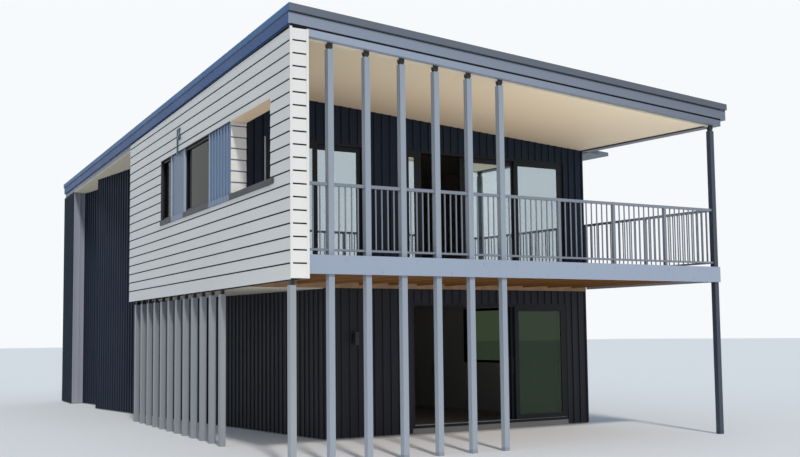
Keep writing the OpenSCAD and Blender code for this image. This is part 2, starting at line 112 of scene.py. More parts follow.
# Heights of the posts' bolts above the upper floor, and each row of bolts in the fascia, with its
# height and its places along the front
POST_BOLTS = (0.19, -0.36, -0.45)
FASCIA_BOLTS = ((-0.07, (0.865, 2.057, 3.262, 3.453, 3.88, 5.08, 5.9, 7.1)),
                (-0.218, (1.467, 2.667, 4.48, 6.3, 7.7)))
# How far a cut runs past a face
PAST = 1

# The camera that took the photo
CAMERA_AT = (-7.45487, -14.16425, 1.75158)
CAMERA_RIGHT = Vector((0.83903, -0.54396, -0.01122))
CAMERA_UP = Vector((-0.03888, -0.08051, 0.99600))
CAMERA_LENS = 53.52


def turned_x(y):
    """X of the weatherboard wall's outer face at depth y."""
    return y * math.tan(WALL_TURN)


def turned(y, x=0.0):
    """The point at depth y on a line that turns with the screen and starts at x."""
    return turned_x(y) + x, y


def at(x, y, z=0.0):
    """A point measured from the weatherboard wall's corner, in the frame."""
    return Vector((CORNER.x + x, CORNER.y + y, z))


def roof_z(height, x):
    """Level of a plane that falls with the roof, from its height at the corner."""
    return FLOOR + height - x * math.tan(ROOF_FALL)


# Sizes and colours


def length(name, description, value):
    """A length setting with its default."""
    return bpy.props.FloatProperty(name=name, description=description, default=value, unit="LENGTH")


def colour(name, description, value):
    """A colour setting with its default."""
    return bpy.props.FloatVectorProperty(
        name=name, description=description, subtype="COLOR", size=3, min=0.0, max=1.0, default=value)


class BeachHouseSizes(bpy.types.PropertyGroup):
    """Sizes of the boards, ribs and sheets"""

    board_cover: length("Board Cover", "Height that each weatherboard covers", 0.1797)
    # The joint's darkness is painted shade: the gap shows the near-black backing.
    board_gap: length("Board Joint", "Height of the dark joint between two weatherboards", 0.02)
    board_depth: length("Board Depth", "Thickness of a weatherboard at its foot", 0.014)
    rib_pitch: length("Rib Spacing", "Distance between the ribs of the dark cladding", 0.166)
    rib_width: length("Rib Width", "Width of a cladding rib", 0.032)
    rib_depth: length("Rib Depth", "How far a rib stands out from the wall", 0.03)
    decking_width: length("Decking Width", "Width of a deck board", 0.14)
    decking_gap: length("Decking Gap", "Gap between two deck boards", 0.005)
    bolt_radius: length("Bolt Radius", "Radius of a bolt head", 0.008)
    seam_pitch: length("Seam Spacing", "Distance between the standing seams of the roof", 0.48)


class BeachHouseColours(bpy.types.PropertyGroup):
    """Colours of the finishes"""

    weatherboard: colour("Weatherboards", "Paint of the weatherboards", (0.69, 0.67, 0.635))
    cladding: colour("Cladding", "Paint of the ribbed cladding", (0.012, 0.02, 0.038))
    trim: colour("Posts and Fascias", "Paint of the posts, beams and fascias", (0.27, 0.315, 0.4))
    panel: colour("Band Panels", "Paint of the panels between the band's windows", (0.12, 0.185, 0.29))
    soffit: colour("Soffit", "Paint of the soffit sheets", (0.85, 0.75, 0.57))
    stain: colour("Stained Timber", "Stain of the joists and decking", (0.36, 0.165, 0.06))
    joinery: colour("Door Frames", "Coating of the door frames", (0.011, 0.013, 0.017))
    roofing: colour("Roofing", "Coating of the roof sheets", (0.1, 0.125, 0.165))
    inside: colour("Room Linings", "Paint of the walls and ceilings inside", (0.5, 0.48, 0.45))


# Modelling steps


def select_only(*pieces):
    """Selects the pieces and nothing else, with the first one active."""
    bpy.ops.object.select_all(action="DESELECT")
    for piece in pieces:
        piece.select_set(True)
    if pieces:
        bpy.context.view_layer.objects.active = pieces[0]


def edit_all(piece):
    """Opens the piece in edit mode with all of it selected."""
    select_only(piece)
    bpy.ops.object.mode_set(mode="EDIT")
    bpy.ops.mesh.select_all(action="SELECT")


def leave_edit():
    """Closes edit mode."""
    bpy.ops.object.mode_set(mode="OBJECT")


def place_in_mesh(piece):
    """Puts the piece's place and turn into its mesh."""
    select_only(piece)
    bpy.ops.object.transform_apply(location=True, rotation=True, scale=True)


def add_block(name, low, high, bevel=0.0):
    """A block between two corners with its edges eased."""
    select_only()
    low, high = Vector(low), Vector(high)
    bpy.ops.mesh.primitive_cube_add(size=1, location=(low + high) / 2, scale=high - low)
    piece = bpy.context.object
    piece.name = piece.data.name = name
    place_in_mesh(piece)
    if bevel:
        edit_all(piece)
        bpy.ops.mesh.bevel(offset=bevel, segments=1, affect="EDGES")
        leave_edit()
    return piece


def add_rod(name, start, end, radius, sides):
    """A round or many-sided bar between two points."""
    select_only()
    start, end = Vector(start), Vector(end)
    line = end - start
    bpy.ops.mesh.primitive_cylinder_add(
        vertices=sides, radius=radius, depth=line.length, location=(start + end) / 2,
        rotation=line.to_track_quat("Z", "Y").to_euler())
    piece = bpy.context.object
    piece.name = piece.data.name = name
    place_in_mesh(piece)
    return piece


def shift_points(piece, wanted, by):
    """Moves the points for which wanted(point) is true."""
    edit_all(piece)
    bpy.ops.mesh.select_all(action="DESELECT")
    bpy.ops.mesh.select_mode(type="VERT")
    leave_edit()
    for point in piece.data.vertices:
        point.select = wanted(point.co)
    bpy.ops.object.mode_set(mode="EDIT")
    bpy.ops.transform.translate(value=by)
    leave_edit()


def lower_foot(piece, level):
    """Moves the lowest edge of the boards down to a level."""
    lowest = min(point.co.z for point in piece.data.vertices)
    shift_points(piece, lambda co: co.z < lowest + 0.005, (0, 0, level - lowest))


def taper_top(piece, amount):
    """Moves the outer top edge of a course in by amount, so that it laps like a board."""
    top = max(point.co.z for point in piece.data.vertices)
    shift_points(piece, lambda co: co.z > top - 0.006 and co.y < -0.006, (0, amount, 0))


def repeat(piece, step, count):
    """Copies the piece count times along step."""
    select_only(piece)
    bpy.ops.object.modifier_add(type="ARRAY")
    rows = piece.modifiers[-1]
    rows.use_relative_offset = False
    rows.use_constant_offset = True
    rows.constant_offset_displace = step
    rows.count = count
    bpy.ops.object.modifier_apply(modifier=rows.name)


def carve(piece, openings):
    """Cuts blocks, given by their low and high corners, out of the piece."""
    for low, high in openings:
        cutter = add_block("cutter", low, high)
        select_only(piece)
        bpy.ops.object.modifier_add(type="BOOLEAN")
        cut = piece.modifiers[-1]
        cut.operation = "DIFFERENCE"
        cut.solver = "EXACT"
        cut.object = cutter
        bpy.ops.object.modifier_apply(modifier=cut.name)
        bpy.data.objects.remove(cutter)


def trim(piece, point, normal):
    """Cuts away what lies beyond a plane, on the side that its normal points to."""
    edit_all(piece)
    bpy.ops.mesh.bisect(plane_co=point, plane_no=normal, use_fill=True, clear_outer=True)
    leave_edit()


def trim_to_roof(piece, height):
    """Cuts the piece off above a plane that falls with the roof."""
    trim(piece, at(0, 0, FLOOR + height), (math.sin(ROOF_FALL), 0, math.cos(ROOF_FALL)))


def trim_to_layer(piece, low, high):
    """Cuts away what isn't between two planes that fall with the roof."""
    trim_to_roof(piece, high)
    trim(piece, at(0, 0, FLOOR + low), (-math.sin(ROOF_FALL), 0, -math.cos(ROOF_FALL)))


def trim_to_screen(piece, x):
    """Cuts away what lies left of a line that turns with the screen and starts at x."""
    trim(piece, at(x, 0), (-math.cos(WALL_TURN), math.sin(WALL_TURN), 0))


def join(name, pieces):
    """Joins the pieces into one of that name."""
    select_only(*pieces)
    if len(pieces) > 1:
        bpy.ops.object.join()
    piece = bpy.context.view_layer.objects.active
    piece.name = piece.data.name = name
    return piece


def dress(piece, finish, body="house"):
    """Gives a finished piece its material and its body."""
    edit_all(piece)
    bpy.ops.mesh.normals_make_consistent(inside=False)
    leave_edit()
    piece.data.materials.clear()
    piece.data.materials.append(MATERIALS[finish])
    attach(piece, body)


class Wall:
    """A wall face from start to end, with its outside on the right of that line.

    Pieces are made lying along X with the outside at negative Y, and placed at the end. Openings
    are given as (start, end, low, high).
    """

    def __init__(self, start, end):
        self.start = Vector(start)
        line = Vector(end) - self.start
        self.length = line.length
        self.angle = math.atan2(line.y, line.x)

    def place(self, piece):
        """Moves a finished piece to the face."""
        turn = Matrix.Rotation(self.angle, 4, "Z")
        piece.matrix_world = Matrix.Translation(at(self.start.x, self.start.y)) @ turn
        place_in_mesh(piece)
        return piece

    def carve_and_place(self, piece, openings):
        """Cuts the openings through the piece and moves it to the face."""
        carve(piece, [((start, -PAST, low), (end, PAST, high)) for start, end, low, high in openings])
        return self.place(piece)

    def sheet(self, name, low_z, high_z, depth, openings=()):
        """A sheet on the whole face."""
        piece = add_block(name, (0, -depth, low_z), (self.length, 0, high_z))
        return self.carve_and_place(piece, openings)

    def ribs(self, name, low_z, high_z, openings=()):
        """Upright ribs at even spacing."""
        sizes = bpy.context.scene.beach_house_sizes
        count = max(2, round(self.length / sizes.rib_pitch) + 1)
        step = (self.length - sizes.rib_width) / (count - 1)
        rib = add_block(name, (0, -sizes.rib_depth, low_z), (sizes.rib_width, 0, high_z), 0.003)
        repeat(rib, (step, 0, 0), count)
        return self.carve_and_place(rib, openings)

    def courses(self, name, low_z, high_z, openings=(), end_gap=0.0):
        """Lapped boards one above the other, at the joints that the whole wall shares."""
        sizes = bpy.context.scene.beach_house_sizes
        first = math.floor((low_z - BOARD_BASE) / sizes.board_cover + 1e-4)
        last = math.ceil((high_z - BOARD_BASE) / sizes.board_cover - 1e-4)
        foot = BOARD_BASE + first * sizes.board_cover + sizes.board_gap
        course = add_block(name, (end_gap, -sizes.board_depth, foot),
                           (self.length - end_gap, 0, foot + sizes.board_cover - sizes.board_gap), 0.003)
        taper_top(course, 0.006)
        repeat(course, (0, 0, sizes.board_cover), last - first)
        self.carve_and_place(course, openings)
        if foot < low_z - 1e-3:
            trim(course, at(0, 0, low_z), (0, 0, -1))
        trim(course, at(0, 0, high_z), (0, 0, 1))
        return course


# Materials


COLOUR, VECTOR, NUMBER = "NodeSocketColor", "NodeSocketVector", "NodeSocketFloat"


def new_group(name, inputs, outputs):
    """A node group, its named inputs, its end and the place on the piece that wears it."""
    group = bpy.data.node_groups.new(name, "ShaderNodeTree")
    for label, kind, value in inputs:
        socket = group.interface.new_socket(name=label, in_out="INPUT", socket_type=kind)
        socket.default_value = value
    for label, kind in outputs:
        group.interface.new_socket(name=label, in_out="OUTPUT", socket_type=kind)
    given, result = (group.nodes.new("NodeGroup" + end) for end in ("Input", "Output"))
    return group, given.outputs, result, add_node(group, "ShaderNodeTexCoord").outputs["Object"]


def set_inputs(tree, node, inputs):
    """Sets a node's inputs to values or links them to sockets."""
    for key, value in inputs.items():
        if isinstance(value, bpy.types.NodeSocket):
            tree.links.new(value, node.inputs[key])
        else:
            node.inputs[key].default_value = value


def add_node(tree, kind, inputs=None, **settings):
    """A node with its settings and inputs."""
    node = tree.nodes.new(kind)
    for key, value in settings.items():
        setattr(node, key, value)
    set_inputs(tree, node, inputs or {})
    return node


def multiply(tree, first, second):
    """The product of two values or sockets."""
    return add_node(tree, "ShaderNodeMath", {0: first, 1: second}, operation="MULTIPLY").outputs[0]


def mix_colours(tree, factor, first, second, blend="MIX"):
    """A colour mix whose inputs are values or sockets."""
    inputs = {0: factor, 6: first, 7: second}
    return add_node(tree, "ShaderNodeMix", inputs, data_type="RGBA", blend_type=blend).outputs[2]


def weathering_group():
    """Soft blotches, fine speckle and rain streaks on a painted surface."""
    group, given, result, place = new_group(
        "Weathering",
        [("Colour", COLOUR, (0.5, 0.5, 0.5, 1)), ("Blotches", NUMBER, 0.1),
         ("Streaks", NUMBER, 0.05), ("Roughness", NUMBER, 0.5)],
        [("Colour", COLOUR), ("Roughness", NUMBER), ("Height", NUMBER)])
    upright = add_node(group, "ShaderNodeMapping", {"Vector": place, "Scale": (9, 9, 0.7)}).outputs["Vector"]
    blotch, streak, speckle = (
        add_node(group, "ShaderNodeTexNoise", {
            "Vector": vector, "Scale": scale, "Detail": detail}).outputs["Fac"]
        for vector, scale, detail in ((place, 0.9, 5), (upright, 1.6, 4), (place, 60, 3)))
    paint = given["Colour"]
    dark = mix_colours(group, 0.5, paint, (0.25, 0.24, 0.22, 1), "MULTIPLY")
    blotched = mix_colours(group, multiply(group, blotch, given["Blotches"]), paint, dark)
    streaked = mix_colours(group, multiply(group, streak, given["Streaks"]), blotched, dark)
    rough = add_node(group, "ShaderNodeMath", {0: blotch, 1: 0.16, 2: given["Roughness"]},
                     operation="MULTIPLY_ADD")
    set_inputs(group, result, {"Colour": streaked, "Roughness": rough.outputs[0], "Height": speckle})


def painted_shade_group():
    """A colour that changes evenly along the house's front: painted shade, for the sky's light and
    reflection that fall off towards the right.
    """
    group, given, result, place = new_group(
        "Painted Shade Across",
        [("Left Colour", COLOUR, (0.5, 0.5, 0.5, 1)),
         ("Right Colour", COLOUR, (0.3, 0.3, 0.3, 1)), ("Start", NUMBER, 0.0)],
        [("Colour", COLOUR)])
    axes = add_node(group, "ShaderNodeSeparateXYZ", {0: place})
    share = add_node(group, "ShaderNodeMapRange", {
        "Value": axes.outputs["X"], "From Min": given["Start"], "From Max": CORNER.x + HOUSE_W})
    shaded_paint = mix_colours(group, share.outputs["Result"], given["Left Colour"], given["Right Colour"])
    set_inputs(group, result, {"Colour": shaded_paint})


def grain_group():
    """Timber grain that runs along one axis, with a tone for each board across it."""
    group, given, result, place = new_group(
        "Timber Grain",
        [("Colour", COLOUR, (0.4, 0.3, 0.2, 1)), ("Stretch", VECTOR, (0.6, 14, 14)),
         ("Strength", NUMBER, 0.5), ("Board", VECTOR, (0, 6.9, 0))],
        [("Colour", COLOUR), ("Height", NUMBER)])
    stretched, boards = (
        add_node(group, "ShaderNodeVectorMath", {0: place, 1: given[name]}, operation="MULTIPLY").outputs[0]
        for name in ("Stretch", "Board"))
    fibre = add_node(group, "ShaderNodeTexNoise", {
        "Vector": stretched, "Scale": 3, "Detail": 8, "Distortion": 0.6}).outputs["Fac"]
    board = add_node(group, "ShaderNodeVectorMath", {0: boards}, operation="FLOOR")
    tone = add_node(group, "ShaderNodeTexWhiteNoise", {"Vector": board.outputs[0]}, noise_dimensions="3D")
    stain = given["Colour"]
    deep = mix_colours(group, 0.75, stain, (0.3, 0.22, 0.16, 1), "MULTIPLY")
    grained = mix_colours(group, multiply(group, fibre, given["Strength"]), stain, deep)
    toned = mix_colours(group, multiply(group, tone.outputs["Value"], 0.45), grained, deep)
    set_inputs(group, result, {"Colour": toned, "Height": fibre})


# Roughness, blotches, streaks and relief that several finishes share
TIMBER_PAINT = (0.42, 0.14, 0.14, 0.0008)
PANEL_PAINT = (0.42, 0.15, 0.12)
METAL_COATING = (0.45, 0.2, 0.1)
COVER_COATING = (0.5, 0.2, 0.1)
RAIL_COATING = (0.38, 0.1, 0.05)
CLADDING_PAINT = (0.6, 0.3, 0.3)


def new_material(name, inputs):
    """A material, its nodes and its shader, set to the inputs."""
    material = bpy.data.materials.new(name)
    material.use_nodes = True
    tree = material.node_tree
    shader = tree.nodes["Principled BSDF"]
    set_inputs(tree, shader, inputs)
    return material, tree, shader


def add_effect(tree, name, inputs):
    """A shared effect placed in a material with its own values."""
    return add_node(tree, "ShaderNodeGroup", inputs, node_tree=bpy.data.node_groups[name])


def bump(tree, height, shader, strength, distance):
    """Relief from an effect's height."""
    node = add_node(tree, "ShaderNodeBump", {"Strength": strength, "Distance": distance, "Height": height})
    set_inputs(tree, shader, {"Normal": node.outputs["Normal"]})


def painted(name, paint, rough=0.45, blotches=0.12, streaks=0.06, relief=0.0006, metal=0.0, specular=0.5):
    """Paint with faint weathering."""
    material, tree, shader = new_material(name, {
        "Roughness": rough, "Metallic": metal, "Specular IOR Level": specular})
    effect = add_effect(tree, "Weathering", {
        "Colour": (*paint, 1), "Blotches": blotches, "Streaks": streaks, "Roughness": rough - 0.08}).outputs
    set_inputs(tree, shader, {"Base Color": effect["Colour"], "Roughness": effect["Roughness"]})
    bump(tree, effect["Height"], shader, 0.35, relief)
    return material


def shade_across(name, left, right, start=0.0):
    """Timber paint with painted shade: its colour changes evenly from start, along the front, to the house's
    right.
    """
    material = painted(name, left, *TIMBER_PAINT)
    tree = material.node_tree
    weathering = next(node for node in tree.nodes if node.type == "GROUP")
    effect = add_effect(tree, "Painted Shade Across", {
        "Left Colour": (*left, 1), "Right Colour": (*right, 1), "Start": CORNER.x + start})
    set_inputs(tree, weathering, {"Colour": effect.outputs["Colour"]})
    return material


def stained(name, stain, stretch, board, strength=0.7, rough=0.6):
    """Stained timber with its grain."""
    material, tree, shader = new_material(name, {"Roughness": rough})
    effect = add_effect(tree, "Timber Grain", {
        "Colour": (*stain, 1), "Stretch": stretch, "Board": board, "Strength": strength}).outputs
    set_inputs(tree, shader, {"Base Color": effect["Colour"]})
    bump(tree, effect["Height"], shader, 0.5, 0.001)
    return material


def tinted(name, tint, ior, painted_reflection):
    """Smooth glass with its tint and the strength and colour of its reflection."""
    # The reflection's colour is a painted reflection: it tints the reflection towards the sky or trees
    # before the glass.
    return new_material(name, {
        "Roughness": 0.0, "Base Color": (*tint, 1), "Specular Tint": (*painted_reflection, 1),
        "Transmission Weight": 1.0, "IOR": ior})[0]


def make_materials():
    """Builds every material once and returns them by name."""
    colours = bpy.context.scene.beach_house_colours
    weathering_group()
    painted_shade_group()
    grain_group()
    return {
        "weatherboard": painted("weatherboard_paint", colours.weatherboard, 0.5, 0.1, 0.12, 0.0008),
        # Near-black backing: painted shade that shows through the board joints, above the boards' top and as
        # the beam's shadow line.
        "joint": painted("painted_joint_shade", (0.01, 0.01, 0.012), 0.8, specular=0.1),
        # One cladding paint in two copies: the lower front and left walls' copy is lighter, painted light
        # from the ground.
        "cladding": painted("cladding_paint", colours.cladding, *CLADDING_PAINT, specular=0.2),
        "ground_lit_cladding": painted("low_cladding_paint", (0.021, 0.023, 0.03), *CLADDING_PAINT, specular=0.25),
        # Painted shade: the posts darken towards the right, so that the end post is a dark blue-grey.
        "post": shade_across("post_paint", (0.25, 0.285, 0.335), (0.03, 0.042, 0.064), 4.0),
        # A lighter, warmer copy of the post paint: painted light from the ground on the side posts.
        "side_post": painted("side_post_paint", (0.265, 0.285, 0.31), *TIMBER_PAINT),
        "trim": painted("trim_paint", colours.trim, *TIMBER_PAINT),
        # Painted shade: the beam, fascia and cap are lighter at the left and darker to the right, as the
        # sky's light and reflection fall off.
        "beam": shade_across("beam_paint", (0.29, 0.335, 0.42), (0.12, 0.14, 0.18)),
        "fascia": shade_across("fascia_paint", (0.215, 0.25, 0.315), (0.125, 0.145, 0.185)),
        "cap": shade_across("cap_coating", (0.1, 0.118, 0.148), (0.075, 0.088, 0.112)),
        "strap": painted("strap_coating", (0.03, 0.07, 0.085), 0.4),
        "band_strip": painted("strip_coating", (0.33, 0.38, 0.45), *RAIL_COATING),
        "rail": painted("rail_coating", (0.17, 0.19, 0.23), *RAIL_COATING),
        "panel": painted("panel_paint", colours.panel, *PANEL_PAINT),
        "plain_panel": painted("plain_panel_paint", (0.082, 0.145, 0.235), *PANEL_PAINT),
        "flashing": painted("flashing_coating", (0.03, 0.033, 0.042), 0.5, 0.2, 0.2, specular=0.3),
        "bracket": painted("bracket_coating", (0.018, 0.018, 0.02), *METAL_COATING),
        "joinery": painted("joinery_coating", colours.joinery, *METAL_COATING, specular=0.2),
        # Left covers of the fascia and cap: a deep blue copy of their paint, a painted reflection of blue
        # sky over painted shade.
        "barge": painted("barge_sky_reflection_paint", (0.018, 0.075, 0.22), *COVER_COATING, specular=0.2),
        "barge_cap": painted("barge_cap_sky_reflection_paint", (0.028, 0.125, 0.3), *COVER_COATING, specular=0.2),
        "roofing": painted("roofing_coating", colours.roofing, 0.4, 0.25, 0.0),
        "galvanised": painted("bolt_zinc", (0.5, 0.51, 0.52), 0.35, 0.3, 0.1, metal=0.7),
        "soffit": painted("soffit_paint", colours.soffit, 0.62, 0.08, 0.0, 0.0005),
        "lining": painted("lining_paint", (0.62, 0.57, 0.47), 0.6, 0.08, 0.0, 0.0005),
        "reveal": painted("reveal_paint", (0.75, 0.6, 0.42), 0.6, 0.08, 0.0, 0.0005),
        "return": painted("return_paint", (0.3, 0.31, 0.37), 0.5, 0.1, 0.05),
        "inside": painted("room_paint", colours.inside, 0.7, 0.05, 0.0, 0.0004),
        "slab": painted("floor_concrete", (0.3, 0.285, 0.265), 0.6, 0.5, 0.0, 0.0015),
        "joists": stained("joist_stain", (0.28, 0.135, 0.034), (14, 0.6, 14), (1.667, 0, 0)),
        "decking": stained("decking_stain", colours.stain, (0.6, 14, 14), (0, 6.897, 0)),
        "floorboards": stained("floor_timber", (0.36, 0.23, 0.13), (14, 0.6, 14), (8, 0, 0), 0.5, 0.45),
        # Painted reflections: the clear glass reflects bluish sky with a raised IOR, the other glass
        # reflects green trees, and the band glass is also tinted green.
        "glass": tinted("clear_glass", (0.72, 0.8, 0.8), 4.4, (0.8, 0.93, 1.0)),
        "dark_glass": tinted("dark_glass", (0.25, 0.3, 0.31), 1.55, (0.55, 0.75, 0.45)),
        "band_glass": tinted("window_glass", (0.04, 0.055, 0.03), 1.12, (0.65, 0.85, 0.45)),
    }


# The finish of each node of the frame, and the material of each finish once it is made
NODE_FINISHES = {
    "slab": ("ground_slab",),
    "cladding": (
        "lower_left_wall", "lower_entry_wall", "lower_rear_wall", "lower_right_wall",
        "lower_front_wall_left", "lower_front_wall_right", "lower_door_lintel", "upper_front_wall",
        "upper_left_wall", "upper_entry_wall", "upper_rear_wall", "upper_right_wall"),
    "joinery": ("lower_door_frame", "door_leaf_1", "door_leaf_2", "upper_door_frames", "window_frames"),
    "glass": ("upper_door_glass",),
    "band_glass": ("window_glass",),
    "dark_glass": ("lower_door_glass", "door_leaf_1_glass", "door_leaf_2_glass"),
    "floorboards": ("upper_floor",),
    "lining": ("overhang_lining",),
    # The wall behind the boards wears the near-black backing, painted shade seen through the joints.
    "joint": ("weatherboard_wall",),
    "panel": ("ribbed_panel",),
    "plain_panel": ("plain_panel",),
    "flashing": ("band_sill_flashing",),
    "bracket": ("post_brackets",),
    "joists": ("deck_joists",),
    "trim": ("deck_fascia",),
    "post": ("front_posts",),
    "side_post": ("side_posts",),
    "beam": ("roof_beams",),
    "fascia": ("roof_fascia",),
    "rail": ("front_balustrade", "side_balustrade"),
    "cap": ("roof_cap", "roof_gutter"),
    "roofing": ("roof_slab", "side_eave"),
    "soffit": ("roof_soffit",),
    "decking": ("deck_boards",),
}
MATERIALS = {}


class BEACH_HOUSE_OT_frame(bpy.types.Operator):
    """Give every part of the frame its material"""

    bl_idname = "beach_house.frame"
    bl_label = "Frame Materials"

    def execute(self, context):
        MATERIALS.update(make_materials())
        for finish, nodes in NODE_FINISHES.items():
            for node in nodes:
                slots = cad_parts[node].data.materials
                slots.clear()
                slots.append(MATERIALS[finish])
        return {"FINISHED"}


class BEACH_HOUSE_OT_weatherboards(bpy.types.Operator):
    """Cover the turned wall with lapped boards"""

    bl_idname = "beach_house.weatherboards"
    bl_label = "Weatherboards"

    def execute(self, context):
        depth = context.scene.beach_house_sizes.board_depth
        top = FLOOR + SCREEN_TOP_H
        outside = Wall(turned(SCREEN_D), turned(0))
        front = Wall(turned(0), turned(0, SCREEN_T))
        inside = Wall(turned(0, SCREEN_T), turned(DECK_D, SCREEN_T))
        back = Wall(turned(SCREEN_D, SCREEN_T), turned(SCREEN_D))
        band_start, hole_end, *_, band_end = (y / ALONG for y in BAND_CUTS)
        band = (outside.length - band_end, outside.length - band_start, BAND_LOW, BAND_HEAD)
        hole = (band_start, hole_end, BAND_LOW, BAND_HEAD)
        beam_d, beam_foot = 0.125, FLOOR + 2.9
        beam_end = (-PAST, beam_d, beam_foot, top + PAST)
        for name, wall, openings, end_gap, foot, top_h in (
                ("boards_left", outside, [band], 0, SCREEN_FOOT - BOARDS_HANG, BOARDS_TOP_H),
                ("boards_front", front, [], 0.02, SCREEN_FOOT, BOARDS_TOP_H),
                ("boards_deck_side", inside, [hole, beam_end], 0, SCREEN_FOOT, UNDER_SOFFIT_H),
                ("boards_back", back, [], 0, SCREEN_FOOT, UNDER_SOFFIT_H)):
            boards = wall.courses(name, BOARD_BASE, top, openings, end_gap)
            lower_foot(boards, foot)
            trim_to_roof(boards, top_h)
            dress(boards, "weatherboard")
        for name, y, start, end in (("boards_rear_jamb", BAND_CUTS[1], 0, SCREEN_T),
                                    ("boards_front_jamb", BAND_CUTS[0], SCREEN_T, 0)):
            jamb = Wall(turned(y, start), turned(y, end))
            boards = jamb.courses(name, BAND_SILL, BAND_HEAD - HEAD_LINING_T)
            dress(boards, "weatherboard")
        strip_w, proud = 0.038, depth + 0.002
        corners = [add_block("corner", at(x, -proud, SCREEN_FOOT), at(x + strip_w, 0, top + 0.05), 0.002)
                   for x in (-proud, SCREEN_T + proud - strip_w)]
        strips = join("corner_strips", corners)
        trim_to_roof(strips, BOARDS_TOP_H)
        dress(strips, "weatherboard")
        return {"FINISHED"}


class BEACH_HOUSE_OT_band(bpy.types.Operator):
    """Finish the band of panels and windows in the weatherboard wall"""

    bl_idname = "beach_house.band"
    bl_label = "Window Band"

    def execute(self, context):
        face = Wall(turned(BAND_CUTS[-1]), turned(BAND_CUTS[0]))
        hole_end, panel_end, panel_start, plain_end, plain_start, rear_start = (
            face.length - (y - BAND_CUTS[0]) / ALONG for y in BAND_CUTS)
        sill_out, sill_face = -0.03, -0.02
        batten_w, battens = 0.03, 8
        step = (panel_end - panel_start - batten_w) / (battens - 1)
        pieces = []
        for outer, inner, low, high in (
                (-0.002, 0.02, BAND_SILL, BAND_HEAD), (sill_out, sill_face, BAND_LOW, BAND_SILL)):
            low_corner, high_corner = (panel_start, outer, low), (panel_start + batten_w, inner, high)
            row = add_block("battens", low_corner, high_corner, 0.003)
            repeat(row, (step, 0, 0), battens)
            pieces.append(row)
        for start, end in ((panel_start, panel_end), (plain_start, plain_end)):
            pieces.append(add_block("apron", (start, -0.024, BAND_LOW), (end, sill_face, BAND_SILL), 0.001))
        dress(face.place(join("panel_battens", pieces)), "panel")
        half_w, behind, ease = 0.009, 0.03, 0.002
        edges = [add_block("edge", (x - half_w, -0.012, BAND_SILL), (x + half_w, behind, BAND_HEAD), ease)
                 for x in (panel_start, plain_end, plain_start)]
        dress(face.place(join("band_strips", edges)), "band_strip")
        head_out, head_low, head_top = -0.016, BAND_HEAD - 0.008, BAND_HEAD + 0.004
        head = add_block("head", (0, head_out, head_low), (panel_end, 0.02, head_top), ease)
        rear = add_block("rear", (0, head_out, BAND_LOW), (0.02, behind, BAND_HEAD), ease)
        dress(face.place(join("band_head_flashing", [head, rear])), "flashing")
        lap, opening_lap, lip_face = 0.01, 0.16, -0.0205
        lips = [add_block("lip", (start - lap, sill_out, BAND_LOW), (end, lip_face, BAND_SILL), ease)
                for start, end in ((panel_end, hole_end + opening_lap), (plain_end, panel_start + lap),
                                   (rear_start, plain_start + lap))]
        dress(face.place(join("sill_lip", lips)), "flashing")
        lining = add_block("opening_head_lining", (panel_end, -0.018, BAND_HEAD - HEAD_LINING_T),
                           (hole_end, SCREEN_T * ALONG, BAND_HEAD), 0.001)
        dress(face.place(lining), "reveal")
        return {"FINISHED"}


def clad(name, start, end, low_z, high_z=None, openings=(), paint="cladding"):
    """Sheet and ribs on the wall face from start to end, up to a level or to the soffit."""
    wall = Wall(start, end)
    top = high_z or roof_z(UNDER_SOFFIT_H, min(start[0], end[0])) + 0.02
    pieces = [wall.sheet(name, low_z, top, CLADDING_T, openings), wall.ribs(name, low_z, top, openings)]
    if not high_z:
        for piece in pieces:
            trim_to_roof(piece, UNDER_SOFFIT_H)
    dress(join(name, pieces), paint)


def holes(wall_start, places, low, high):
    """Openings in a row, measured along the wall from its start."""
    spans = [sorted((abs(a - wall_start), abs(b - wall_start))) for a, b in places]
    return [(a, b, low, high) for a, b in spans]


def window_holes(wall_start, places, floor_z):
    return holes(wall_start, places, floor_z + WINDOW_LOW, floor_z + WINDOW_HIGH)


def door_holes(wall_start, places, floor_z):
    return holes(wall_start, places, floor_z - PAST, floor_z + DOOR_H)


